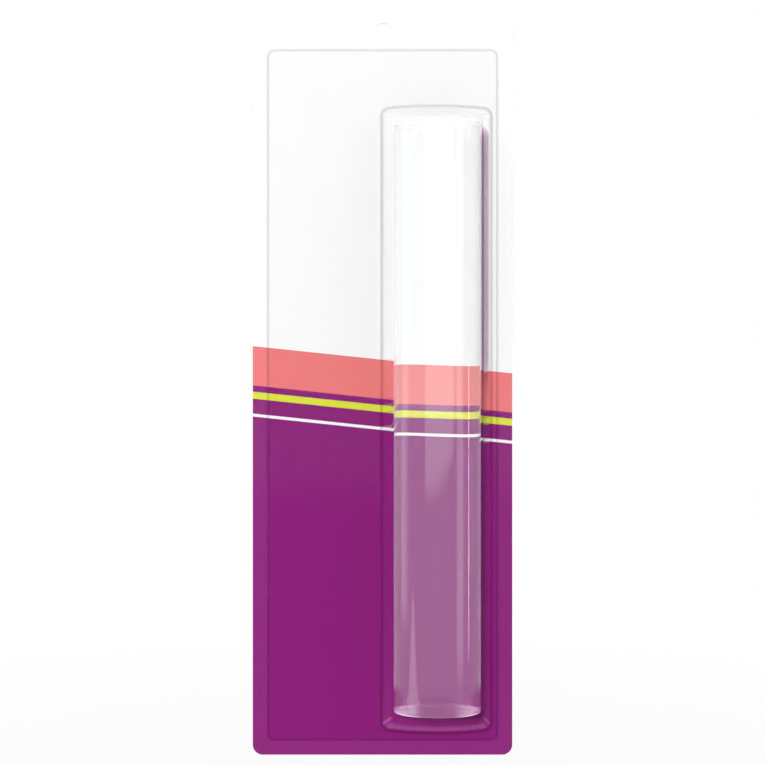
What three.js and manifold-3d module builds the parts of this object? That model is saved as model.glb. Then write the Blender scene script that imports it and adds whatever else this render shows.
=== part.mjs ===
import * as THREE from 'three';
import * as BufferGeometryUtils from 'three/addons/utils/BufferGeometryUtils.js';
import Module from 'manifold-3d';

// A clear acrylic rolling rod for clay, held upright on a printed hang card under a formed clear blister.
// Millimetres. +X is the viewer's right, +Z is up, and the printed face looks along -Y.
// The origin is the middle of the card's hang hole, on the printed face.

const wasm = await Module();
wasm.setup();

// The roller: a solid cast rod, sawn square and polished.
const rollerDiameter = 29.6;
const rollerLength = 200;
const rollerEdgeChamfer = 0.5;

// The card: coated board, die-cut with rounded corners and a round hole for a display hook.
const cardWidth = 90;
const cardHeight = 257;
const cardThickness = 0.6;
const cardCornerRadius = 3.5;
const hangHoleDiameter = 6.4;
const hangHoleDrop = 6.4;

// The blister: one formed sheet. Its flat margin is sealed to the card,
// and its panel stands a little proud.
const filmThickness = 0.4;
const sealMargin = 4.4;
const headerHeight = 11.8;
const panelRise = 1;
const panelWallRun = 1.1;
const panelCornerRadius = 3.2;

// The pocket in the blister: a drafted tunnel with a round crown, which lies along the roller.
const pocketWidth = 38.4;
const pocketOffset = 18.6;
const pocketFootMargin = 8;
const pocketCornerRadius = 2.6;
const footBulge = 1;
const headBulge = 0.8;
const footDraft = THREE.MathUtils.degToRad(18);
const headDraft = THREE.MathUtils.degToRad(11.3);

// Clearances. The roller lies just off the card, stands on the foot wall
// and can slide a little to the head wall.
const rollerCardGap = 0.3;
const footSeatGap = 0.3;
const headPlay = 1.5;
const crownClearance = 1;

// How finely round shapes are divided, and how far a cutting shape runs past what it cuts.
const rollerSegments = 96;
const crownSegments = 36;
const holeSegments = 40;
const outlineSegments = 10;
const cutOverrun = 2;

// Places that follow from the sizes. Depths are measured from the printed face towards the viewer.
const cardTop = hangHoleDrop;
const cardFoot = cardTop - cardHeight;
const rollerRadius = rollerDiameter / 2;
const rollerDepth = rollerCardGap + rollerRadius;
const rollerFrontDepth = rollerDepth + rollerRadius;
const crownRadius = rollerRadius + crownClearance + filmThickness;
const crownDepth = rollerDepth + crownRadius;
const panelDepth = panelRise + filmThickness;
const pocketFoot = cardFoot + pocketFootMargin;
const footWallInner = pocketFoot - footBulge + filmThickness;
const rollerFoot = footWallInner + rollerFrontDepth * Math.tan(footDraft) + footSeatGap;
const rollerHead = rollerFoot + rollerLength;
const headWallInner = rollerHead + headPlay + rollerFrontDepth * Math.tan(headDraft);
const pocketHead = headWallInner + filmThickness - headBulge;
const pocketMiddle = (pocketFoot + pocketHead) / 2;

// The crown's arc ends where the straight drafted side walls touch it.
const wallFootDepth = panelDepth - rollerDepth;
const wallFootReach = Math.hypot(pocketWidth / 2, wallFootDepth);
const wallDraft = Math.atan2(wallFootDepth, pocketWidth / 2) + Math.acos(crownRadius / wallFootReach);

const materials = {
  card: new THREE.MeshStandardMaterial({ color: 0x8a2477, roughness: 0.35, metalness: 0 }),
  blister: new THREE.MeshStandardMaterial({
    color: 0xf4f6f8, roughness: 0.08, metalness: 0, transparent: true, opacity: 0.25,
  }),
  roller: new THREE.MeshStandardMaterial({
    color: 0xe9eef0, roughness: 0.05, metalness: 0, transparent: true, opacity: 0.5,
  }),
};

// A closed geometry as a solid that can be joined and cut.
function solidOf(geometry) {
  const bare = geometry.clone();
  bare.deleteAttribute('normal');
  bare.deleteAttribute('uv');
  const merged = BufferGeometryUtils.mergeVertices(bare);
  return new wasm.Manifold(new wasm.Mesh({
    numProp: 3,
    vertProperties: new Float32Array(merged.attributes.position.array),
    triVerts: new Uint32Array(merged.index.array),
  }));
}

function geometryOf(solid) {
  const mesh = solid.getMesh();
  const geometry = new THREE.BufferGeometry();
  geometry.setAttribute('position', new THREE.BufferAttribute(mesh.vertProperties, 3));
  geometry.setIndex(new THREE.BufferAttribute(mesh.triVerts, 1));
  const faceted = geometry.toNonIndexed();
  faceted.computeVertexNormals();
  return faceted;
}

// Extrudes an outline drawn in X and Z towards the viewer, between two depths.
function plate(outline, fromDepth, toDepth) {
  const geometry = new THREE.ExtrudeGeometry(outline, {
    depth: toDepth - fromDepth, bevelEnabled: false, curveSegments: outlineSegments,
  });
  geometry.translate(0, 0, fromDepth);
  return geometry.rotateX(Math.PI / 2);
}

function roundedRectangle(left, right, foot, top, radius) {
  const outline = new THREE.Shape();
  outline.moveTo(left + radius, foot);
  outline.lineTo(right - radius, foot);
  outline.absarc(right - radius, foot + radius, radius, -Math.PI / 2, 0);
  outline.lineTo(right, top - radius);
  outline.absarc(right - radius, top - radius, radius, 0, Math.PI / 2);
  outline.lineTo(left + radius, top);
  outline.absarc(left + radius, top - radius, radius, Math.PI / 2, Math.PI);
  outline.lineTo(left, foot + radius);
  outline.absarc(left + radius, foot + radius, radius, Math.PI, Math.PI * 1.5);
  return outline;
}

const cardOutline = () => roundedRectangle(
  -cardWidth / 2, cardWidth / 2, cardFoot, cardTop, cardCornerRadius,
);

// The hang hole's cutter goes through the film and the board.
function hangHole() {
  const depth = cardThickness + filmThickness + 2 * cutOverrun;
  const radius = hangHoleDiameter / 2;
  const cutter = new THREE.CylinderGeometry(radius, radius, depth, holeSegments);
  return solidOf(cutter.translate(0, (cardThickness - filmThickness) / 2, 0));
}

function cardGeometry() {
  return geometryOf(solidOf(plate(cardOutline(), -cardThickness, 0)).subtract(hangHole()));
}

// The raised panel, or with an inset the hollow under it. Its wall leans in steadily with depth.
function panelBlock(inset, fromDepth, toDepth) {
  const edge = sealMargin + inset;
  const left = -cardWidth / 2 + edge;
  const right = cardWidth / 2 - edge;
  const foot = cardFoot + edge;
  const top = cardTop - headerHeight - inset;
  const radius = panelCornerRadius - inset;
  const geometry = plate(roundedRectangle(left, right, foot, top, radius), fromDepth, toDepth);
  const position = geometry.attributes.position;
  const point = new THREE.Vector3();
  const core = new THREE.Vector3();
  for (let i = 0; i < position.count; i += 1) {
    point.fromBufferAttribute(position, i);
    const wallRun = (-point.y * panelWallRun) / panelDepth;
    core.set(
      THREE.MathUtils.clamp(point.x, left + radius, right - radius),
      point.y,
      THREE.MathUtils.clamp(point.z, foot + radius, top - radius),
    );
    point.lerp(core, wallRun / radius);
    position.setXYZ(i, point.x, point.y, point.z);
  }
  return geometry;
}

// The pocket's plan, with round corners and ends that bow out.
function pocketPlan(inset) {
  const side = pocketWidth / 2 - inset;
  const radius = pocketCornerRadius - inset;
  const shoulder = side - radius;
  const left = pocketOffset - side;
  const right = pocketOffset + side;
  const outline = new THREE.Shape();
  const foot = pocketFoot + inset;
  const head = pocketHead - inset;
  const footTurn = foot + (radius * 2 * footBulge) / shoulder;
  const headTurn = head - (radius * 2 * headBulge) / shoulder;
  outline.moveTo(right, footTurn + radius);
  outline.lineTo(right, headTurn - radius);
  outline.quadraticCurveTo(right, headTurn, pocketOffset + shoulder, head);
  outline.quadraticCurveTo(pocketOffset, head + 2 * headBulge, pocketOffset - shoulder, head);
  outline.quadraticCurveTo(left, headTurn, left, headTurn - radius);
  outline.lineTo(left, footTurn + radius);
  outline.quadraticCurveTo(left, footTurn, pocketOffset - shoulder, foot);
  outline.quadraticCurveTo(pocketOffset, foot - 2 * footBulge, pocketOffset + shoulder, foot);
  outline.quadraticCurveTo(right, footTurn, right, footTurn + radius);
  return outline;
}

// The plan carried out towards the viewer, with each end wall leaning in at its own draft.
function draftedBlock(inset, fromDepth) {
  const toDepth = crownDepth + cutOverrun;
  const geometry = plate(pocketPlan(inset), fromDepth, toDepth);
  const position = geometry.attributes.position;
  for (let i = 0; i < position.count; i += 1) {
    const depth = -position.getY(i);
    const z = position.getZ(i);
    const lean = z > pocketMiddle ? -Math.tan(headDraft) : Math.tan(footDraft);
    position.setZ(i, z + depth * lean);
  }
  return geometry;
}

// The tunnel's section, drawn in X and Y and carried along Z: side walls, then the crown's arc.
function tunnel(inset, fromDepth) {
  const radius = crownRadius - inset;
  const touchX = radius * Math.cos(wallDraft);
  const touchDepth = rollerDepth + radius * Math.sin(wallDraft);
  const footX = touchX + (touchDepth - fromDepth) * Math.tan(wallDraft);
  const outline = new THREE.Shape();
  outline.moveTo(pocketOffset - footX, -fromDepth);
  outline.lineTo(pocketOffset - touchX, -touchDepth);
  outline.absarc(pocketOffset, -rollerDepth, radius, Math.PI + wallDraft, Math.PI * 2 - wallDraft);
  outline.lineTo(pocketOffset + footX, -fromDepth);
  const length = pocketHead - pocketFoot + headBulge + footBulge + 2 * cutOverrun;
  const geometry = new THREE.ExtrudeGeometry(outline, {
    depth: length, bevelEnabled: false, curveSegments: crownSegments,
  });
  return geometry.translate(0, 0, pocketFoot - footBulge - cutOverrun);
}

function pocket(inset, fromDepth) {
  return solidOf(draftedBlock(inset, fromDepth)).intersect(solidOf(tunnel(inset, fromDepth)));
}

function blisterGeometry() {
  const outside = solidOf(plate(cardOutline(), 0, filmThickness))
    .add(solidOf(panelBlock(0, 0, panelDepth)))
    .add(pocket(0, 0));
  return geometryOf(outside
    .subtract(solidOf(panelBlock(filmThickness, -cutOverrun, panelRise)))
    .subtract(pocket(filmThickness, -cutOverrun))
    .subtract(hangHole()));
}

function rollerGeometry() {
  const section = [
    new THREE.Vector2(0, 0),
    new THREE.Vector2(rollerRadius - rollerEdgeChamfer, 0),
    new THREE.Vector2(rollerRadius, rollerEdgeChamfer),
    new THREE.Vector2(rollerRadius, rollerLength - rollerEdgeChamfer),
    new THREE.Vector2(rollerRadius - rollerEdgeChamfer, rollerLength),
    new THREE.Vector2(0, rollerLength),
  ];
  return new THREE.LatheGeometry(section, rollerSegments).rotateX(Math.PI / 2);
}

const part = new THREE.Group();

const card = new THREE.Mesh(cardGeometry(), materials.card);
card.name = 'backing_card';
part.add(card);

const blister = new THREE.Mesh(blisterGeometry(), materials.blister);
blister.name = 'blister';
part.add(blister);

const roller = new THREE.Mesh(rollerGeometry(), materials.roller);
roller.name = 'roller';
roller.position.set(pocketOffset, -rollerDepth, rollerFoot);
part.add(roller);

export default part;
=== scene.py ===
from math import acos, atan2, cos, hypot, pi, radians, sin, tan

import bmesh
import bpy
from mathutils import Matrix, Vector


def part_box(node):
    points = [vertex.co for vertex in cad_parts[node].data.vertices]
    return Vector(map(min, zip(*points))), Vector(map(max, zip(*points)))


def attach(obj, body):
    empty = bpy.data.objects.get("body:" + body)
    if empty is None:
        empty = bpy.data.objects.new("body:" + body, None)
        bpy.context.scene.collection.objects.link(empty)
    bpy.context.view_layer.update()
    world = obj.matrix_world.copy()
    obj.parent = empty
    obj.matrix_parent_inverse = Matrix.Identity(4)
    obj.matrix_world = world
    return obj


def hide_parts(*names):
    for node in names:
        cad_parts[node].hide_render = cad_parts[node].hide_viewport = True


# A clear acrylic rod for rolling clay, upright in a formed clear blister on a printed hang card.
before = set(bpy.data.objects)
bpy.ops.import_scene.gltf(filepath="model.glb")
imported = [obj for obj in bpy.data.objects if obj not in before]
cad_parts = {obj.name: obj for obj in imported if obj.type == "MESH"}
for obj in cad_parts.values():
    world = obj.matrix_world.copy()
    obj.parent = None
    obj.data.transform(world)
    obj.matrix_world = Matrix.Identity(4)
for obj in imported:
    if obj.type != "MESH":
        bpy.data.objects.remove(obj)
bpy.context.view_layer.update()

mm = 0.001
cardLow, cardHigh = [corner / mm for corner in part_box("backing_card")]
rodLow, rodHigh = [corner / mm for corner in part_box("roller")]
rodAxis = (rodLow + rodHigh) / 2
rodRadius = (rodHigh.x - rodLow.x) / 2
rodHalf = rodHigh.z - rodAxis.z
weldReach = 1e-4         # mm, within which two vertices are one

# Settings and colours that many nodes share.
softStep = {"interpolation_type": "SMOOTHSTEP"}
colourMix = {"data_type": "RGBA"}
numberMix = {"data_type": "FLOAT"}
white, black = (1, 1, 1, 1), (0, 0, 0, 1)


def linearFromHex(text, alpha=1.0):
    channels = [int(text[i:i + 2], 16) / 255 for i in (0, 2, 4)]
    return tuple(c / 12.92 if c <= 0.04045 else ((c + 0.055) / 1.055) ** 2.4 for c in channels) + (alpha,)


def addNode(tree, kind, settings=None, links=None):
    # Links go to a socket by its name or number. A value there is set on the socket instead.
    node = tree.nodes.new(kind)
    for name, value in (settings or {}).items():
        setattr(node, name, value)
    for socket, value in (links or {}).items():
        if isinstance(value, bpy.types.NodeSocket):
            tree.links.new(value, node.inputs[socket])
        else:
            node.inputs[socket].default_value = value
    return node


def within(tree, limits, most=1.0):
    # The share of most that is left inside soft limits. Each limit is a value and one or more steps,
    # and a step goes from nothing at its first number to all at its second.
    share = most
    for value, *steps in limits:
        for nothing, full in steps:
            step = addNode(tree, "ShaderNodeMapRange", softStep,
                           {"Value": value, "From Min": nothing, "From Max": full}).outputs[0]
            share = addNode(tree, "ShaderNodeMath", {"operation": "MULTIPLY"}, {0: share, 1: step}).outputs[0]
    return share


def newMaterial(name):
    material = bpy.data.materials.new(name)
    material.use_nodes = True
    material.node_tree.nodes.clear()
    return material, material.node_tree


def finishPiece(bm, name, body, material, sharpAngle):
    # The piece is drawn in millimetres and kept in metres, with its object at the origin.
    bmesh.ops.scale(bm, vec=(mm, mm, mm), verts=bm.verts)
    mesh = bpy.data.meshes.new(name)
    bm.to_mesh(mesh)
    bm.free()
    mesh.polygons.foreach_set("use_smooth", [True] * len(mesh.polygons))
    mesh.set_sharp_from_angle(angle=radians(sharpAngle))
    mesh.materials.append(material)
    piece = bpy.data.objects.new(name, mesh)
    bpy.context.scene.collection.objects.link(piece)
    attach(piece, body)
    return piece


# Camera: level, straight at the printed face.
cameraSetup = {
    "distance": 700,         # mm from the printed face
    "height": -121.5,        # mm, in the frame
    "fieldWidth": 265.39,    # mm of the card's plane that fill the picture's width
    "sensorWidth": 36,       # mm
    "nearest": 0.01, "farthest": 50,      # m, what it sees
}
cameraData = bpy.data.cameras.new("photoCamera")
cameraData.sensor_width = cameraSetup["sensorWidth"]
cameraData.lens = cameraSetup["sensorWidth"] * cameraSetup["distance"] / cameraSetup["fieldWidth"]
cameraData.clip_start, cameraData.clip_end = cameraSetup["nearest"], cameraSetup["farthest"]
camera = bpy.data.objects.new("photoCamera", cameraData)
camera.location = (0, -cameraSetup["distance"] * mm, cameraSetup["height"] * mm)
camera.rotation_euler = (pi / 2, 0, 0)
bpy.context.scene.collection.objects.link(camera)
bpy.context.scene.camera = camera
print("camera placed")


# Printed card: coated board, offset printed and die-cut. The coating gives a smooth, half-gloss white
# with a very fine tooth, and the ink lies on it without relief. The back and the cut edge are bare
# board, duller, with fibres.
cardPrint = {
    "white": "fbfbfb", "purple": "8c2079", "coral": "ee7d7e", "lime": "dbe23f",
    # From the top down, each band's colour and its upper edge, in mm at the card's middle.
    "bands": (("coral", -113.6), ("purple", -127.2), ("lime", -129.4), ("purple", -131.8),
              ("white", -137.0), ("purple", -138.0)),
    "slant": -0.105,                      # rise of the bands per mm to the right
    "edgeBlur": 0.04,                     # mm, half the softness of a printed edge
    "mottleSize": 9, "mottle": 0.015,     # mm, and the share by which the ink's tone wanders
    "coatingTooth": 0.25,                 # mm
    "coatingRoughness": 0.5, "coatingIor": 1.12,
    "fibreDark": "c9c2b3", "fibreLight": "e4dfd5", "fleck": "a89c86", "cutEdge": "f1eee6",
    "fibreLength": 1.6, "fleckLength": 0.7,      # mm
    "fleckCut": (0.66, 0.74),             # the noise above which there is a fleck
    "slimness": 6,                        # how many times longer than wide a fibre is
    "boardRoughness": 0.85,
    "relief": 0.02, "reliefStrength": 0.25,      # mm, and how much of it shows
    "skin": 0.02,                         # mm, how near a face counts as on it
    # mm, between which the print turns white upwards, for the clear pieces in front of it.
    "paleFrom": -128, "paleFull": -112,
}


def cardMaterial():
    material, tree = newMaterial("coatedPrintedBoard")
    place = addNode(tree, "ShaderNodeTexCoord").outputs["Object"]
    split = addNode(tree, "ShaderNodeSeparateXYZ", None, {0: place})
    # The height, measured level with the slanted bands.
    height = addNode(tree, "ShaderNodeMath", {"operation": "MULTIPLY_ADD"},
                     {0: split.outputs["X"], 1: -cardPrint["slant"], 2: split.outputs["Z"]}).outputs[0]
    ink = linearFromHex(cardPrint["white"])
    for colour, top in cardPrint["bands"]:
        below = addNode(tree, "ShaderNodeMapRange", None,
                        {"Value": height, "From Min": (top + cardPrint["edgeBlur"]) * mm,
                         "From Max": (top - cardPrint["edgeBlur"]) * mm}).outputs[0]
        ink = addNode(tree, "ShaderNodeMix", colourMix,
                      {"Factor": below, 6: ink, 7: linearFromHex(cardPrint[colour])}).outputs[2]
    mottle = addNode(tree, "ShaderNodeTexNoise", None,
                     {"Vector": place, "Scale": 1 / (cardPrint["mottleSize"] * mm), "Detail": 3.0})
    tone = addNode(tree, "ShaderNodeMapRange", None,
                   {"Value": mottle.outputs[0], "To Min": 1 - cardPrint["mottle"],
                    "To Max": 1 + cardPrint["mottle"]}).outputs[0]
    ink = addNode(tree, "ShaderNodeVectorMath", {"operation": "SCALE"}, {0: ink, "Scale": tone}).outputs[0]

    # Fibres lie along the board's grain, which runs up the card, with darker flecks here and there.
    grain = addNode(tree, "ShaderNodeMapping", None,
                    {"Vector": place, "Scale": (cardPrint["slimness"], 1, 1)}).outputs[0]
    fibre = addNode(tree, "ShaderNodeTexNoise", None,
                    {"Vector": grain, "Scale": 1 / (cardPrint["fibreLength"] * mm), "Detail": 5.0,
                     "Roughness": 0.65}).outputs[0]
    fleck = addNode(tree, "ShaderNodeTexNoise", None,
                    {"Vector": grain, "Scale": 1 / (cardPrint["fleckLength"] * mm), "Detail": 2.0}).outputs[0]
    flecked = addNode(tree, "ShaderNodeMapRange", None,
                      {"Value": fleck, "From Min": cardPrint["fleckCut"][0],
                       "From Max": cardPrint["fleckCut"][1]}).outputs[0]
    board = addNode(tree, "ShaderNodeMix", colourMix,
                    {"Factor": fibre, 6: linearFromHex(cardPrint["fibreDark"]),
                     7: linearFromHex(cardPrint["fibreLight"])}).outputs[2]
    board = addNode(tree, "ShaderNodeMix", colourMix,
                    {"Factor": flecked, 6: board, 7: linearFromHex(cardPrint["fleck"])}).outputs[2]

    printedSide = addNode(tree, "ShaderNodeMath", {"operation": "LESS_THAN"},
                          {0: split.outputs["Y"], 1: cardPrint["skin"] * mm}).outputs[0]
    backSide = addNode(tree, "ShaderNodeMath", {"operation": "GREATER_THAN"},
                       {0: split.outputs["Y"], 1: (cardHigh.y - cardPrint["skin"]) * mm}).outputs[0]
    colour = addNode(tree, "ShaderNodeMix", colourMix,
                     {"Factor": backSide, 6: linearFromHex(cardPrint["cutEdge"]), 7: board}).outputs[2]
    colour = addNode(tree, "ShaderNodeMix", colourMix,
                     {"Factor": printedSide, 6: colour, 7: ink}).outputs[2]
    tooth = addNode(tree, "ShaderNodeTexNoise", None,
                    {"Vector": place, "Scale": 1 / (cardPrint["coatingTooth"] * mm), "Detail": 2.0}).outputs[0]
    relief = addNode(tree, "ShaderNodeMix", numberMix,
                     {"Factor": printedSide, 2: fibre, 3: tooth}).outputs[0]
    bump = addNode(tree, "ShaderNodeBump", None,
                   {"Height": relief, "Strength": cardPrint["reliefStrength"],
                    "Distance": cardPrint["relief"] * mm})
    roughness = addNode(tree, "ShaderNodeMapRange", None,
                        {"Value": printedSide, "To Min": cardPrint["boardRoughness"],
                         "To Max": cardPrint["coatingRoughness"]}).outputs[0]
    shader = addNode(tree, "ShaderNodeBsdfPrincipled", None,
                     {"Base Color": colour, "Roughness": roughness, "IOR": cardPrint["coatingIor"],
                      "Normal": bump.outputs[0]})
    addNode(tree, "ShaderNodeOutputMaterial", None, {"Surface": shader.outputs[0]})
    return material


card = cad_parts["backing_card"]
card.data.materials.clear()
card.data.materials.append(cardMaterial())
print("card printed")


# Blister: one vacuum-formed sheet of clear PET. Sizes are in mm, drafts in degrees.
blister = {
    "sheet": 0.38,            # 0.02 less than the solid's, so that it doesn't share a face with the card
    "solidSheet": 0.4,
    "sealMargin": 4.4, "header": 11.8, "cardCorner": 3.5, "holeDiameter": 6.4,
    "panelDepth": 1.4, "marginDepth": 0.4, "panelWallRun": 1.1, "panelCorner": 3.2,
    "marginRing": 0.6, "panelRing": 0.36,        # narrow rings of faces on each side of the step's wall
    "stepRounding": 0.3,
    "pocketWidth": 37.8, "pocketFootMargin": 8.4, "crownGap": 1.4,
    "footBulge": 1.0, "headBulge": 0.8, "shoulder": 16.6,
    "footDraft": 17.4, "headDraft": 10.7, "headPlay": 1.5,
    "endRings": (2.6, 2.4, 2.2, 2.0, 1.8, 1.6, 1.4),     # insets that let an end wall bow
    "sharpRim": 0.7,          # radians; sharper edges of the pocket are rounded
    "rimRounding": 2.3, "baseRounding": 1.15, "baseFlange": 1.35,
    "crownSteps": 56, "cornerSteps": 8, "holeSteps": 48, "rimSteps": 5, "baseSteps": 4, "wallSteps": 3,
    "smoothTo": 40,           # degrees
    # The film's looks. A pair goes from where something isn't to where it is full. Depths are in mm
    # from the printed face, and a tilt is Layer Weight's, from 0 flat on to 1 edge on.
    "clear": "fefefe",
    "stepBend": ((0.42, 0.67), (1.6, 1.1)), "footBend": ((1.4, 1.65), (2.5, 2.0)),     # depths
    "stepPaintedShade": 0.11, "footPaintedShade": 0.17,          # painted shade: the share darkened at each surface of a bend, standing in for the light it throws aside
    "bentTilt": (0.02, 0.2),
    "faceMirror": 0.002, "edgeMirror": 0.45,     # share mirrored at each surface, flat on and edge on
    "edgePower": 5.0,
    "gloss": 0.06, "waveLength": 14, "waveDepth": 0.02, "waveStrength": 0.3,     # mm
    # Painted shadow: the purple-grey of the shade painted on the pocket's right wall beside the rod.
    "paintedShadowTint": "e4cfe1",
    "sideReach": ((14.6, 14.9), (18.5, 17.3)),   # mm to the right of the rod's axis
    "sideTop": (1.3, 3.3),                       # mm below the rod's head
    "sideTilt": (0.5, 0.68),
    "veil": "ffdcff",
    "sealHaze": 0.0088, "sealDepth": (0.9, 0.5),
    # The sealed margin's haze is real. At the pocket's corners and along its foot the haze is painted
    # highlight, placed where light streaks show on the bends.
    "cornerPaintedGlint": 0.12, "cornerDepth": ((2, 3), (22, 15)),
    "cornerSideward": (0.3, 0.6), "cornerEndward": ((0.04, 0.18), (0.6, 0.3)),         # of the normal
    "footPaintedGlint": 0.12, "footDepth": ((2.5, 5), (20, 11)), "footEndward": (0.45, 0.8),
}


def filmMaterial():
    # Vacuum-formed PET: clear, glossy and thin, so what is behind isn't bent. The heat-sealed margin is
    # a little hazy, and the drawn pocket slightly wavy. Where the sheet bends sharply, at the panel's
    # step and at the pocket's foot, narrow dark lines are painted into what is seen through it: painted
    # shade for the light that a bent sheet throws aside.
    material, tree = newMaterial("vacuumFormedClearPet")
    coordinates = addNode(tree, "ShaderNodeTexCoord")
    # In mm: to the right of the rod's axis, out from the printed face, and up.
    place = addNode(tree, "ShaderNodeVectorMath", {"operation": "MULTIPLY_ADD"},
                    {0: coordinates.outputs["Object"], 1: (1 / mm, -1 / mm, 1 / mm), 2: (-rodAxis.x, 0, 0)})
    aside, depth, height = addNode(tree, "ShaderNodeSeparateXYZ", None, {0: place.outputs[0]}).outputs
    tilt = addNode(tree, "ShaderNodeLayerWeight", None, {"Blend": 0.5}).outputs["Facing"]
    path = addNode(tree, "ShaderNodeLightPath")
    lighting = addNode(tree, "ShaderNodeMath", {"operation": "MAXIMUM"},
                       {0: path.outputs["Is Shadow Ray"], 1: path.outputs["Is Diffuse Ray"]}).outputs[0]

    # Painted shade: narrow dark lines along the step's and the foot's bends, placed by depth, and darker where
    # the sheet is seen more edge on.
    atStep = within(tree, ((depth, *blister["stepBend"]),), blister["stepPaintedShade"])
    atFoot = within(tree, ((depth, *blister["footBend"]),), blister["footPaintedShade"])
    bends = addNode(tree, "ShaderNodeMath", {"operation": "MAXIMUM"}, {0: atStep, 1: atFoot}).outputs[0]
    paintedBendShade = within(tree, ((tilt, blister["bentTilt"]),), bends)
    # Painted shadow: beside the rod's upper half the steep right wall, where it is seen edge on, is tinted
    # purple-grey for the shade that the rod throws aside. Light on its way to the card doesn't get it.
    sideTop = [rodHigh.z - drop for drop in blister["sideTop"]]
    paintedRodShadow = within(tree, ((aside, *blister["sideReach"]),
                           (height, (cardPrint["paleFrom"], cardPrint["paleFull"]), sideTop),
                           (tilt, blister["sideTilt"]), (lighting, (1, 0))))
    passedWithPaintedShade = addNode(tree, "ShaderNodeMix", colourMix,
                   {"Factor": paintedRodShadow, 6: linearFromHex(blister["clear"]),
                    7: linearFromHex(blister["paintedShadowTint"])}).outputs[2]
    passedWithPaintedShade = addNode(tree, "ShaderNodeMix", colourMix, {"Factor": paintedBendShade, 6: passedWithPaintedShade, 7: black}).outputs[2]
    clear = addNode(tree, "ShaderNodeBsdfTransparent", None, {"Color": passedWithPaintedShade})

    wave = addNode(tree, "ShaderNodeTexNoise", None,
                   {"Vector": coordinates.outputs["Object"], "Scale": 1 / (blister["waveLength"] * mm),
                    "Detail": 1.5})
    bump = addNode(tree, "ShaderNodeBump", None,
                   {"Height": wave.outputs[0], "Strength": blister["waveStrength"],
                    "Distance": blister["waveDepth"] * mm})
    gloss = addNode(tree, "ShaderNodeBsdfAnisotropic", None,
                    {"Color": white, "Roughness": blister["gloss"], "Normal": bump.outputs[0]})
    # Both faces of the sheet mirror alike, so this is a facing curve and not a Fresnel node, which
    # differs inside. Light on its way to the card goes through the sheet unmirrored.
    steep = addNode(tree, "ShaderNodeMath", {"operation": "POWER"},
                    {0: tilt, 1: blister["edgePower"]}).outputs[0]
    mirror = addNode(tree, "ShaderNodeMath", {"operation": "MULTIPLY_ADD"},
                     {0: steep, 1: blister["edgeMirror"], 2: blister["faceMirror"]}).outputs[0]
    mirror = addNode(tree, "ShaderNodeMix", numberMix, {"Factor": lighting, 2: mirror, 3: 0.0}).outputs[0]
    film = addNode(tree, "ShaderNodeMixShader", None, {0: mirror, 1: clear.outputs[0], 2: gloss.outputs[0]})

    # The sealed margin is hazy. At the pocket's corners and along its foot a painted highlight is added
    # as haze, placed by depth and by which way the sheet faces, for the light streaks on the bends.
    absolute = addNode(tree, "ShaderNodeVectorMath", {"operation": "ABSOLUTE"},
                       {0: coordinates.outputs["Normal"]}).outputs[0]
    sideward, _, endward = addNode(tree, "ShaderNodeSeparateXYZ", None, {0: absolute}).outputs
    corner = within(tree, ((depth, *blister["cornerDepth"]), (sideward, blister["cornerSideward"]),
                           (endward, *blister["cornerEndward"])), blister["cornerPaintedGlint"])
    foot = within(tree, ((depth, *blister["footDepth"]), (endward, blister["footEndward"])),
                  blister["footPaintedGlint"])
    hazeAndGlintShare = addNode(tree, "ShaderNodeMapRange", None,
                    {"Value": depth, "From Min": blister["sealDepth"][0],
                     "From Max": blister["sealDepth"][1], "To Max": blister["sealHaze"]}).outputs[0]
    for spot in (corner, foot):
        hazeAndGlintShare = addNode(tree, "ShaderNodeMath", {"operation": "MAXIMUM"}, {0: hazeAndGlintShare, 1: spot}).outputs[0]
    # The haze is thin, so it adds light and hides nothing.
    veil = addNode(tree, "ShaderNodeMix", colourMix,
                   {"Factor": hazeAndGlintShare, 6: black, 7: linearFromHex(blister["veil"])}).outputs[2]
    hazeAndGlintShader = addNode(tree, "ShaderNodeBsdfDiffuse", None, {"Color": veil})
    whole = addNode(tree, "ShaderNodeAddShader", None, {0: film.outputs[0], 1: hazeAndGlintShader.outputs[0]})
    addNode(tree, "ShaderNodeOutputMaterial", None, {"Surface": whole.outputs[0]})
    return material


def roundedFace(bm, left, right, foot, top, radius, depth):
    # A flat face that looks towards the viewer, with its corners rounded.
    middle = Matrix.Translation(((left + right) / 2, -depth, (foot + top) / 2))
    size = Matrix.Diagonal((right - left, top - foot, 1, 1))
    made = bmesh.ops.create_grid(bm, x_segments=1, y_segments=1, size=0.5,
                                 matrix=middle @ Matrix.Rotation(pi / 2, 4, "X") @ size)
    result = bmesh.ops.bevel(bm, geom=made["verts"], offset=radius, offset_type="OFFSET",
                             segments=blister["cornerSteps"], profile=0.5, affect="VERTICES", material=-1)
    return max((f for v in result["verts"] for f in v.link_faces), key=lambda f: f.calc_area())


def inset(bm, face, thickness, depth=0.0, openRim=True):
    # The face shrinks, also from its open edges where openRim is true. The ring of faces round it
    # comes back.
    return bmesh.ops.inset_region(bm, faces=[face], thickness=thickness, depth=depth, use_boundary=openRim,
                                  use_even_offset=True)["faces"]


def openFace(bm, face):
    # Takes the face away and keeps its rim.
    rim = list(face.edges)
    bmesh.ops.delete(bm, geom=[face], context="FACES_ONLY")
    return rim


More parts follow.
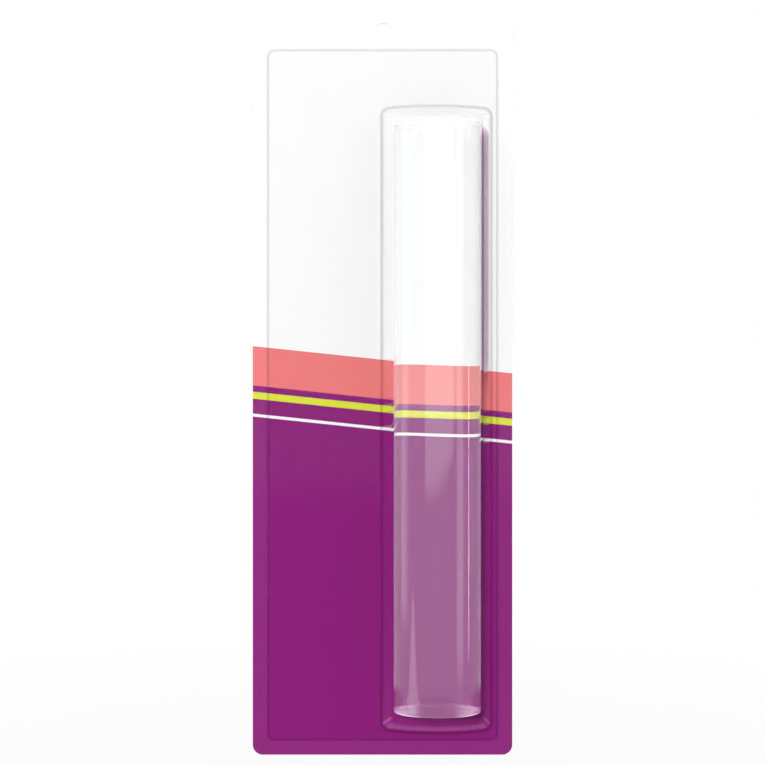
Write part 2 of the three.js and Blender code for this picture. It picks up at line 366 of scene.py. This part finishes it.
def buildPocket(bm):
    tiny = 1e-3
    axisX, rodDepth = rodAxis.x, -rodAxis.y
    crown = rodRadius + blister["crownGap"]
    base = blister["panelDepth"]
    half = blister["pocketWidth"] / 2
    wallDraft = atan2(base - rodDepth, half) + acos(crown / hypot(half, base - rodDepth))
    foot = cardLow.z + blister["pocketFootMargin"]
    headLean = (rodDepth + rodRadius) * tan(radians(blister["headDraft"]))
    head = rodHigh.z + blister["headPlay"] + headLean + blister["solidSheet"] - blister["headBulge"]

    # The section: the crown is one vertex spun round the rod's axis, and the side walls run down to
    # the panel.
    touch = (axisX - crown * cos(wallDraft), -rodDepth - crown * sin(wallDraft), 0)
    start = bmesh.ops.create_vert(bm, co=touch)["vert"][0]
    bmesh.ops.spin(bm, geom=[start], cent=(axisX, -rodDepth, 0), axis=(0, 0, 1), dvec=(0, 0, 0),
                   angle=pi - 2 * wallDraft, steps=blister["crownSteps"], use_duplicate=False)
    bm.verts.ensure_lookup_table()
    for end in [v for v in bm.verts if len(v.link_edges) == 1]:
        made = bmesh.ops.extrude_vert_indiv(bm, verts=[end])["verts"][0]
        side = -1 if end.co.x < axisX else 1
        made.co = (axisX + side * half, -base, 0)
    drawn = bmesh.ops.extrude_edge_only(bm, edges=list(bm.edges))["geom"]
    bmesh.ops.translate(bm, vec=(0, 0, head - foot),
                        verts=[g for g in drawn if isinstance(g, bmesh.types.BMVert)])
    bmesh.ops.translate(bm, vec=(0, 0, foot), verts=bm.verts)
    for level, draft, bulge in ((foot, blister["footDraft"], blister["footBulge"]),
                                (head, -blister["headDraft"], -blister["headBulge"])):
        ends = [v for v in bm.verts if abs(v.co.z - level) < tiny]
        ring = [e for e in bm.edges if e.verts[0] in ends and e.verts[1] in ends]
        floorLine = bm.edges.new([v for v in ends if abs(v.co.y + base) < tiny])
        wall = bmesh.ops.contextual_create(bm, geom=ring + [floorLine])["faces"][0]
        rings = [f for width in blister["endRings"] for f in inset(bm, wall, width, openRim=False)]
        # The end wall leans in as it rises, which is a shear, and is bowed out across its width.
        for v in {v for f in rings + [wall] for v in f.verts}:
            across = (v.co.x - axisX) / blister["shoulder"]
            v.co.z -= v.co.y * tan(radians(draft)) + bulge * (1 - across * across)
    # The rim between the end walls and the tunnel is rounded, as a drawn sheet rounds it.
    bm.normal_update()
    rims = [e for e in bm.edges if e.is_manifold and e.calc_face_angle() > blister["sharpRim"]]
    bmesh.ops.bevel(bm, geom=rims, offset=blister["rimRounding"], offset_type="OFFSET",
                    segments=blister["rimSteps"], profile=0.5, affect="EDGES", clamp_overlap=False,
                    material=-1)
    # A narrow flange round its foot, then the fillet.
    footLoop = [e for e in bm.edges if e.is_boundary]
    drawn = bmesh.ops.extrude_edge_only(bm, edges=footLoop)["geom"]
    middle = Vector((axisX, 0, (foot + head) / 2))
    wide = 1 + blister["baseFlange"] / half
    tall = 1 + blister["baseFlange"] / ((head - foot) / 2 + 1)
    bmesh.ops.scale(bm, vec=(wide, 1, tall), space=Matrix.Translation(-middle),
                    verts=[g for g in drawn if isinstance(g, bmesh.types.BMVert)])
    bmesh.ops.bevel(bm, geom=footLoop, offset=blister["baseRounding"], offset_type="OFFSET",
                    segments=blister["baseSteps"], profile=0.5, affect="EDGES", clamp_overlap=False,
                    material=-1)
    return [e for e in bm.edges if e.is_boundary]


def buildBlister():
    bm = bmesh.new()
    pocketRim = buildPocket(bm)

    # The raised panel: a rounded face, inset down its wall, with a narrow ring on each side of the
    # wall's edges.
    marginRing, marginDepth = blister["marginRing"], blister["marginDepth"]
    reach = blister["panelWallRun"] * marginDepth / blister["panelDepth"]
    edge = blister["sealMargin"] + reach - marginRing
    panel = roundedFace(bm, cardLow.x + edge, cardHigh.x - edge, cardLow.z + edge,
                        cardHigh.z - blister["header"] - reach + marginRing,
                        blister["panelCorner"] - reach + marginRing, marginDepth)
    panel.normal_update()
    if panel.normal.y > 0:
        panel.normal_flip()
    margins = inset(bm, panel, marginRing)
    walls = inset(bm, panel, blister["panelWallRun"] - reach, blister["panelDepth"] - marginDepth)
    inset(bm, panel, blister["panelRing"])
    marginRim = [e for f in margins for e in f.edges if e.is_boundary]
    wallEdges = [e for f in walls for e in f.edges if not set(e.link_faces) <= set(walls)]
    panelRim = openFace(bm, panel)
    bmesh.ops.triangle_fill(bm, edges=panelRim + pocketRim, use_beauty=True, use_dissolve=False,
                            normal=(0, -1, 0))

    # The sealed margin out to the card's edge, with the punched hang hole.
    outer = roundedFace(bm, cardLow.x, cardHigh.x, cardLow.z, cardHigh.z, blister["cardCorner"], marginDepth)
    outerRim = openFace(bm, outer)
    onMargin = Matrix.Translation((0, -marginDepth, 0)) @ Matrix.Rotation(pi / 2, 4, "X")
    hole = bmesh.ops.create_circle(bm, cap_ends=False, segments=blister["holeSteps"],
                                   radius=blister["holeDiameter"] / 2, matrix=onMargin)
    holeRim = list({e for v in hole["verts"] for e in v.link_edges})
    bmesh.ops.triangle_fill(bm, edges=outerRim + holeRim + marginRim, use_beauty=True, use_dissolve=False,
                            normal=(0, -1, 0))
    bmesh.ops.bevel(bm, geom=wallEdges, offset=blister["stepRounding"], offset_type="OFFSET",
                    segments=blister["wallSteps"], profile=0.5, affect="EDGES", clamp_overlap=True,
                    material=-1)
    bmesh.ops.remove_doubles(bm, verts=bm.verts, dist=weldReach)
    bmesh.ops.recalc_face_normals(bm, faces=bm.faces)
    if sum(f.normal.y * f.calc_area() for f in bm.faces) > 0:
        bmesh.ops.reverse_faces(bm, faces=bm.faces)
    bmesh.ops.solidify(bm, geom=list(bm.faces), thickness=blister["sheet"])
    return bm


blisterPiece = finishPiece(buildBlister(), "blister_film", "pack", filmMaterial(), blister["smoothTo"])
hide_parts("blister")
print("blister formed")


# Roller: solid cast acrylic rod, sawn square and polished.
rod = {
    "edge": 0.5,              # mm, the broken edge at each end
    "edgeSteps": 4, "steps": 160,
    "shoulder": 1.2,          # mm of plain outline on each side of an edge before it is broken
    "colour": "fcfdfd",
    "clearness": 0.95,        # the rest is milky haze
    "refraction": 1.49, "endRefraction": 1.02,
    "bodyReach": 8.5, "endReach": 5.5,           # mm from the ends, between which one goes over into the other
    "scratchSize": 2.5, "roughness": (0.02, 0.05),       # mm
    "coatRoughness": 0.03,
    # The light that the sawn foot scatters, at its middle and at its sides, and the share of it that is
    # left at its back and on its edge; at the sides it is brighter than white, a painted highlight. Then the
    # light that the head scatters.
    "middleHaze": 0.04, "sidePaintedGlow": 1.1, "backHaze": 0.5, "edgeHaze": 0.6,
    "headHaze": 0.3,
    "sideReach": (0.3, 0.85),                    # shares of the radius
    "backReach": 9,                              # mm behind the axis
    "edgeReach": (0.02, 0.1),                    # mm above the foot's face
    "satinReach": (0.6, 0.4),                    # mm from the ends
    "skin": 0.05,                                # mm, how near an end face counts as on it
    "headTurns": 1, "footTurns": 3,              # how often a view may turn inside before it is let out
    "smoothTo": 30,                              # degrees
    # How lamps and room light what is behind the rod. Each pair of colours is for the purple half of the
    # card and for the white half, where the shadow is deeper, since no colour soaks it up.
    "lampMiddle": (1.15, 1.1),                   # the middle gathers light
    "lampRim": ("5a4a56", "5a2450"), "lampTilt": (0.42, 0.60),
    "roomRim": ("6e5068", "301229"), "roomTilt": (0.2, 0.55),
    "rightReach": 4,                             # mm
}


def acrylicMaterial():
    # Cast PMMA, polished round its side: clear, with a faint milky haze from fine scratches. The sawn
    # ends and their broken edges are satin, and the sides of the foot get a painted highlight. Light that
    # only lights what is behind goes straight through the middle, and is lost towards the edges, as a
    # round rod throws it.
    material, tree = newMaterial("polishedCastAcrylic")
    scratch = addNode(tree, "ShaderNodeTexNoise", None,
                      {"Vector": addNode(tree, "ShaderNodeTexCoord").outputs["Object"],
                       "Scale": 1 / (rod["scratchSize"] * mm), "Detail": 4.0})
    roughness = addNode(tree, "ShaderNodeMapRange", None,
                        {"Value": scratch.outputs[0], "To Min": rod["roughness"][0],
                         "To Max": rod["roughness"][1]}).outputs[0]

    # What depends on the light stays on its side when the rod turns, so it goes by the place in the
    # room, here in mm from the rod's middle.
    room = addNode(tree, "ShaderNodeNewGeometry").outputs["Position"]
    place = addNode(tree, "ShaderNodeVectorMath", {"operation": "MULTIPLY_ADD"},
                    {0: room, 1: (1 / mm, 1 / mm, 1 / mm), 2: -rodAxis}).outputs[0]
    right, behind, up = addNode(tree, "ShaderNodeSeparateXYZ", None, {0: place}).outputs
    away = addNode(tree, "ShaderNodeVectorMath", {"operation": "ABSOLUTE"}, {0: place}).outputs[0]
    aside, _, endward = addNode(tree, "ShaderNodeSeparateXYZ", None, {0: away}).outputs

    # The end faces are seen through the side as whole lens shapes, so the side next to them bends
    # light less.
    nearEnd = within(tree, ((endward, (rodHalf - rod["bodyReach"], rodHalf - rod["endReach"])),))
    body, end = [addNode(tree, "ShaderNodeBsdfPrincipled", None,
                         {"Base Color": linearFromHex(rod["colour"]), "Roughness": roughness,
                          "IOR": refraction, "Transmission Weight": rod["clearness"], "Coat Weight": coat,
                          "Coat IOR": rod["refraction"], "Coat Roughness": rod["coatRoughness"]}).outputs[0]
                 for refraction, coat in ((rod["refraction"], 0), (rod["endRefraction"], 1))]
    glass = addNode(tree, "ShaderNodeMixShader", None, {0: nearEnd, 1: body, 2: end})

    # The sawn faces scatter light. At the sides of the foot this is a painted highlight brighter than white,
    # placed by where the lamps stand. It fades towards the back, and on the broken edge.
    sawnHazeAndPaintedGlow = addNode(tree, "ShaderNodeMapRange", softStep,
                   {"Value": aside, "From Min": rod["sideReach"][0] * rodRadius,
                    "From Max": rod["sideReach"][1] * rodRadius,
                    "To Min": rod["middleHaze"], "To Max": rod["sidePaintedGlow"]}).outputs[0]
    back = addNode(tree, "ShaderNodeMapRange", softStep,
                   {"Value": behind, "From Max": rod["backReach"], "To Min": 1.0,
                    "To Max": rod["backHaze"]}).outputs[0]
    broken = addNode(tree, "ShaderNodeMapRange", None,
                     {"Value": up, "From Min": rod["edgeReach"][0] - rodHalf,
                      "From Max": rod["edgeReach"][1] - rodHalf, "To Min": 1.0,
                      "To Max": rod["edgeHaze"]}).outputs[0]
    for less in (back, broken):
        sawnHazeAndPaintedGlow = addNode(tree, "ShaderNodeMath", {"operation": "MULTIPLY"}, {0: sawnHazeAndPaintedGlow, 1: less}).outputs[0]
    onFoot = addNode(tree, "ShaderNodeMath", {"operation": "LESS_THAN"}, {0: up, 1: 0.0}).outputs[0]
    sawnHazeAndPaintedGlow = addNode(tree, "ShaderNodeMix", numberMix,
                   {"Factor": onFoot, 2: rod["headHaze"], 3: sawnHazeAndPaintedGlow}).outputs[0]
    # This adds light and hides nothing. At the foot it is the painted highlight, brighter than white at
    # the sides.
    sawnHazeAndPaintedGlow = within(tree, ((endward, [rodHalf - reach for reach in rod["satinReach"]]),), sawnHazeAndPaintedGlow)
    satinAndPaintedGlow = addNode(tree, "ShaderNodeBsdfDiffuse", None, {"Color": sawnHazeAndPaintedGlow})
    seen = addNode(tree, "ShaderNodeAddShader", None, {0: glass.outputs[0], 1: satinAndPaintedGlow.outputs[0]})

    # The lamps stand a little to the left, so only the right half and the foot throw a shadow that
    # shows. The head's face throws none.
    tilt = addNode(tree, "ShaderNodeLayerWeight", None, {"Blend": 0.5}).outputs["Facing"]
    onRight = addNode(tree, "ShaderNodeMapRange", None,
                      {"Value": right, "From Max": rod["rightReach"]}).outputs[0]
    onSole = addNode(tree, "ShaderNodeMath", {"operation": "LESS_THAN"},
                     {0: up, 1: rod["skin"] - rodHalf}).outputs[0]
    belowHead = addNode(tree, "ShaderNodeMath", {"operation": "LESS_THAN"},
                        {0: up, 1: rodHalf - rod["skin"]}).outputs[0]
    throws = addNode(tree, "ShaderNodeMath", {"operation": "MAXIMUM"}, {0: onRight, 1: onSole}).outputs[0]
    throws = addNode(tree, "ShaderNodeMath", {"operation": "MULTIPLY"}, {0: throws, 1: belowHead}).outputs[0]
    rimForLamp = within(tree, ((tilt, rod["lampTilt"]),), throws)
    rimForRoom = within(tree, ((tilt, rod["roomTilt"]),))
    upper = within(tree, ((up, [cardPrint[mark] - rodAxis.z for mark in ("paleFrom", "paleFull")]),))
    lampMiddle = [(gain, gain, gain, 1) for gain in rod["lampMiddle"]]
    lampRim = [linearFromHex(text) for text in rod["lampRim"]]
    roomRim = [linearFromHex(text) for text in rod["roomRim"]]
    passed = []
    for rim, middle, edge in ((rimForLamp, lampMiddle, lampRim), (rimForRoom, (white, white), roomRim)):
        halves = [addNode(tree, "ShaderNodeMix", colourMix, {"Factor": upper, 6: low, 7: high}).outputs[2]
                  for low, high in (middle, edge)]
        passed.append(addNode(tree, "ShaderNodeMix", colourMix,
                              {"Factor": rim, 6: halves[0], 7: halves[1]}).outputs[2])
    path = addNode(tree, "ShaderNodeLightPath")
    fromRoom = path.outputs["Is Diffuse Ray"]
    passed = addNode(tree, "ShaderNodeMix", colourMix,
                     {"Factor": fromRoom, 6: passed[0], 7: passed[1]}).outputs[2]
    straight = addNode(tree, "ShaderNodeBsdfTransparent", None, {"Color": passed})
    lighting = addNode(tree, "ShaderNodeMath", {"operation": "MAXIMUM"},
                       {0: path.outputs["Is Shadow Ray"], 1: fromRoom}).outputs[0]
    whole = addNode(tree, "ShaderNodeMixShader", None,
                    {0: lighting, 1: seen.outputs[0], 2: straight.outputs[0]})

    # A view that has turned once inside the head, or three times at the foot, goes straight out, or it
    # would never leave the rod.
    turns = addNode(tree, "ShaderNodeMath", {"operation": "MULTIPLY_ADD"},
                    {0: onFoot, 1: rod["footTurns"] - rod["headTurns"],
                     2: rod["headTurns"] - 0.5}).outputs[0]
    turned = addNode(tree, "ShaderNodeMath", {"operation": "GREATER_THAN"},
                     {0: path.outputs["Glossy Depth"], 1: turns}).outputs[0]
    out = addNode(tree, "ShaderNodeBsdfTransparent", None, {"Color": white})
    whole = addNode(tree, "ShaderNodeMixShader", None, {0: turned, 1: whole.outputs[0], 2: out.outputs[0]})
    addNode(tree, "ShaderNodeOutputMaterial", None, {"Surface": whole.outputs[0]})
    return material


def buildRoller():
    # Half of the rod's outline, its two edges broken, spun once round the axis.
    bm = bmesh.new()
    shoulder = rod["shoulder"]
    outline = [(0, rodLow.z), (rodRadius - shoulder, rodLow.z), (rodRadius, rodLow.z),
               (rodRadius, rodLow.z + shoulder), (rodRadius, rodHigh.z - shoulder),
               (rodRadius, rodHigh.z), (rodRadius - shoulder, rodHigh.z), (0, rodHigh.z)]
    verts = [bm.verts.new((rodAxis.x + reach, rodAxis.y, z)) for reach, z in outline]
    for a, b in zip(verts, verts[1:]):
        bm.edges.new((a, b))
    bmesh.ops.bevel(bm, geom=[verts[2], verts[5]], offset=rod["edge"], offset_type="OFFSET",
                    segments=rod["edgeSteps"], profile=0.5, affect="VERTICES", material=-1)
    bmesh.ops.spin(bm, geom=list(bm.verts) + list(bm.edges), cent=(rodAxis.x, rodAxis.y, 0),
                   axis=(0, 0, 1), dvec=(0, 0, 0), angle=2 * pi, steps=rod["steps"], use_merge=True,
                   use_duplicate=False)
    bmesh.ops.remove_doubles(bm, verts=bm.verts, dist=weldReach)
    bmesh.ops.recalc_face_normals(bm, faces=bm.faces)
    return bm


rollerPiece = finishPiece(buildRoller(), "roller_rod", "roller", acrylicMaterial(), rod["smoothTo"])
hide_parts("roller")
print("roller turned")


# Studio: pale floor, white room, softboxes.
studio = {
    "floorSize": 60.0,                           # m
    "floorDrop": 0.2,                            # mm below the card's foot
    "paper": "fbfbfb",
    "paperNear": 0.05, "paperFar": 0.45,         # m, where the lit paper runs out into white
    "paperLift": 0.85,                           # how far the camera sees the near paper as white already
    "frontLevel": 0.34, "backLevel": 0.66,       # the room's light on surfaces
    "frontGloss": 0.03, "backGloss": 0.27,       # the room in mirrors: in front, and behind and below
    # Between these the room goes over from one to the other, as parts of a direction of length 1.
    "levelBlend": (-0.05, 0.5), "glossBlend": (0.75, 0.98), "belowBlend": (-0.5, -0.95),
    "throughBlend": (-0.9, -0.6), "slopeBlend": (0.2, 0.32),
}


def layFloor():
    bm = bmesh.new()
    bmesh.ops.create_grid(bm, x_segments=1, y_segments=1, size=studio["floorSize"] / 2,
                          matrix=Matrix.Translation((0, 0, (cardLow.z - studio["floorDrop"]) * mm)))
    mesh = bpy.data.meshes.new("floor")
    bm.to_mesh(mesh)
    bm.free()
    material, tree = newMaterial("paleFloorPaper")
    path = addNode(tree, "ShaderNodeLightPath")
    paper = addNode(tree, "ShaderNodeBsdfDiffuse", None, {"Color": linearFromHex(studio["paper"])})
    # Away from the object the paper runs out into the white room. Near it, it is lit paper and keeps
    # the shadow.
    reach = addNode(tree, "ShaderNodeVectorMath", {"operation": "LENGTH"},
                    {0: addNode(tree, "ShaderNodeTexCoord").outputs["Object"]}).outputs["Value"]
    away = addNode(tree, "ShaderNodeMapRange", softStep,
                   {"Value": reach, "From Min": studio["paperNear"], "From Max": studio["paperFar"],
                    "To Min": studio["paperLift"]}).outputs[0]
    viewed = addNode(tree, "ShaderNodeMath", {"operation": "MAXIMUM"},
                     {0: path.outputs["Is Camera Ray"], 1: path.outputs["Is Transmission Ray"]}).outputs[0]
    lifted = addNode(tree, "ShaderNodeMath", {"operation": "MULTIPLY"}, {0: away, 1: viewed})
    glow = addNode(tree, "ShaderNodeEmission", None, {"Color": white, "Strength": 1.0})
    both = addNode(tree, "ShaderNodeMixShader", None,
                   {0: lifted.outputs[0], 1: paper.outputs[0], 2: glow.outputs[0]})
    addNode(tree, "ShaderNodeOutputMaterial", None, {"Surface": both.outputs[0]})
    mesh.materials.append(material)
    floor = bpy.data.objects.new("floor", mesh)
    # The lamps and the room light the foot of the card as they light its top, and mirrors see past
    # the paper.
    floor.visible_diffuse = floor.visible_glossy = False
    bpy.context.scene.collection.objects.link(floor)


def paintRoom():
    world = bpy.data.worlds.new("whiteRoom")
    bpy.context.scene.world = world
    world.use_nodes = True
    tree = world.node_tree
    tree.nodes.clear()
    path = addNode(tree, "ShaderNodeLightPath")
    _, backward, upward = addNode(tree, "ShaderNodeSeparateXYZ", None,
                                  {0: addNode(tree, "ShaderNodeTexCoord").outputs["Generated"]}).outputs

    slope = addNode(tree, "ShaderNodeMath", {"operation": "ABSOLUTE"}, {0: upward}).outputs[0]
    # Each level goes softly from one to another along a direction.
    around, back, under, through, sloping = [
        addNode(tree, "ShaderNodeMapRange", softStep,
                {"Value": value, "From Min": studio[blend][0], "From Max": studio[blend][1],
                 "To Min": first, "To Max": last}).outputs[0]
        for value, blend, first, last in (
            (backward, "levelBlend", studio["frontLevel"], studio["backLevel"]),
            (backward, "glossBlend", studio["frontGloss"], studio["backGloss"]),
            (upward, "belowBlend", 0.0, studio["backGloss"]),
            (backward, "throughBlend", studio["frontGloss"], 1.0),
            (slope, "slopeBlend", 0.0, 1.0))]
    # Surfaces are lit from all round, more from behind. Reflections find the backdrop behind the
    # object, and a dimmer room on the viewer's side.
    mirrored = addNode(tree, "ShaderNodeMath", {"operation": "MAXIMUM"}, {0: back, 1: under}).outputs[0]
    # Through the rod the white backdrop is seen, but not by level light that turns round inside it.
    through = addNode(tree, "ShaderNodeMath", {"operation": "MAXIMUM"}, {0: through, 1: sloping}).outputs[0]
    viewed = addNode(tree, "ShaderNodeMath", {"operation": "MAXIMUM"},
                     {0: path.outputs["Is Transmission Ray"], 1: path.outputs["Is Glossy Ray"]}).outputs[0]
    cameThrough = addNode(tree, "ShaderNodeMath", {"operation": "GREATER_THAN"},
                          {0: path.outputs["Transmission Depth"], 1: 0.5}).outputs[0]
    cameThrough = addNode(tree, "ShaderNodeMath", {"operation": "MULTIPLY"},
                          {0: cameThrough, 1: viewed}).outputs[0]
    level = around
    for ray, seen in ((path.outputs["Is Glossy Ray"], mirrored), (cameThrough, through),
                      (path.outputs["Is Camera Ray"], 1.0)):
        level = addNode(tree, "ShaderNodeMix", numberMix, {"Factor": ray, 2: level, 3: seen}).outputs[0]
    sky = addNode(tree, "ShaderNodeBackground", None, {"Color": white, "Strength": level})
    addNode(tree, "ShaderNodeOutputWorld", None, {"Surface": sky.outputs[0]})


# Only the key box lights the object. The others show only as highlights.
# bearing: degrees from the viewer's side round to the right, seen from the rod.
# rise: mm above the camera's height. distance, width and height: m. roll: degrees.
# level: the box's brightness, where 1 is as bright as the white room.
# sideFade and endFade: shares of its width and height over which it dims, as a softbox does.
# narrow: shares of its width at the top and at the foot, the share of the widening that comes late,
# and how late, as a power.
softboxes = {
    "keyBox": {"bearing": -9.4, "rise": 550, "distance": 3.0, "width": 0.5, "height": 0.5,
               "level": 146.0, "lights": True, "mirrors": False},
    "frontGlow": {"bearing": 4, "rise": 300, "distance": 1.0, "width": 1.7, "height": 0.80,
                  "level": 2.1, "sideFade": 0.1, "endFade": 0.04, "roll": 1.5},
    "leftStrip": {"bearing": -98, "rise": 12, "distance": 0.55, "width": 0.42, "height": 0.34,
                  "level": 1.8, "sideFade": 0.45},
    "rightStrip": {"bearing": 60, "rise": 20, "distance": 0.6, "width": 0.34, "height": 0.45,
                   "level": 2.15, "sideFade": 0.4},
    "rightLine": {"bearing": 88.8, "rise": -79, "distance": 0.6, "width": 0.05, "height": 0.20,
                  "level": 8.0},
    "leftSpike": {"bearing": -68, "rise": -169, "distance": 0.6, "width": 0.62, "height": 0.078,
                  "level": 2.1, "sideFade": 0.1, "endFade": 0.03, "narrow": (0.04, 1.0, 0.45, 14.0)},
}


def addSoftbox(name, bearing, rise, distance, width, height, level, sideFade=0.3, endFade=0.1,
               lights=False, mirrors=True, roll=0, narrow=None):
    aim = Vector((rodAxis.x, rodAxis.y, cameraSetup["height"] + rise)) * mm
    out = Vector((sin(radians(bearing)), -cos(radians(bearing)), 0))
    data = bpy.data.lights.new(name, "AREA")
    data.shape = "RECTANGLE"
    data.size, data.size_y = width, height
    data.energy = level * pi * width * height
    data.use_nodes = True
    tree = data.node_tree
    tree.nodes.clear()
    face = addNode(tree, "ShaderNodeNewGeometry").outputs["Parametric"]
    across, up, _ = addNode(tree, "ShaderNodeSeparateXYZ", None, {0: face}).outputs
    aside = addNode(tree, "ShaderNodeMath", {"operation": "SUBTRACT"}, {0: across, 1: 0.5}).outputs[0]
    aside = addNode(tree, "ShaderNodeMath", {"operation": "ABSOLUTE"}, {0: aside}).outputs[0]
    half = 0.5
    if narrow:
        topWidth, footWidth, lateShare, lateness = narrow
        down = addNode(tree, "ShaderNodeMath", {"operation": "SUBTRACT"}, {0: 1.0, 1: up}).outputs[0]
        late = addNode(tree, "ShaderNodeMath", {"operation": "POWER"}, {0: down, 1: lateness}).outputs[0]
        flare = addNode(tree, "ShaderNodeMix", numberMix, {"Factor": lateShare, 2: down, 3: late}).outputs[0]
        half = addNode(tree, "ShaderNodeMapRange", None,
                       {"Value": flare, "To Min": topWidth / 2, "To Max": footWidth / 2}).outputs[0]
    inside = addNode(tree, "ShaderNodeMath", {"operation": "DIVIDE"}, {0: aside, 1: half}).outputs[0]
    strength = within(tree, ((up, (0, endFade), (1, 1 - endFade)), (inside, (1, 1 - 2 * sideFade))))
    glow = addNode(tree, "ShaderNodeEmission", None, {"Color": white, "Strength": strength})
    addNode(tree, "ShaderNodeOutputLight", None, {"Surface": glow.outputs[0]})
    lamp = bpy.data.objects.new(name, data)
    lamp.location = aim + out * distance
    turn = out.to_track_quat("Z", "Y").to_matrix() @ Matrix.Rotation(radians(roll), 3, "Z")
    lamp.rotation_euler = turn.to_euler()
    lamp.visible_camera = lamp.visible_transmission = False
    lamp.visible_glossy = mirrors
    lamp.visible_diffuse = lights
    bpy.context.scene.collection.objects.link(lamp)


layFloor()
paintRoom()
for name, setup in softboxes.items():
    addSoftbox(name, **setup)
bpy.context.scene.view_settings.view_transform = "Standard"
print("studio lit")
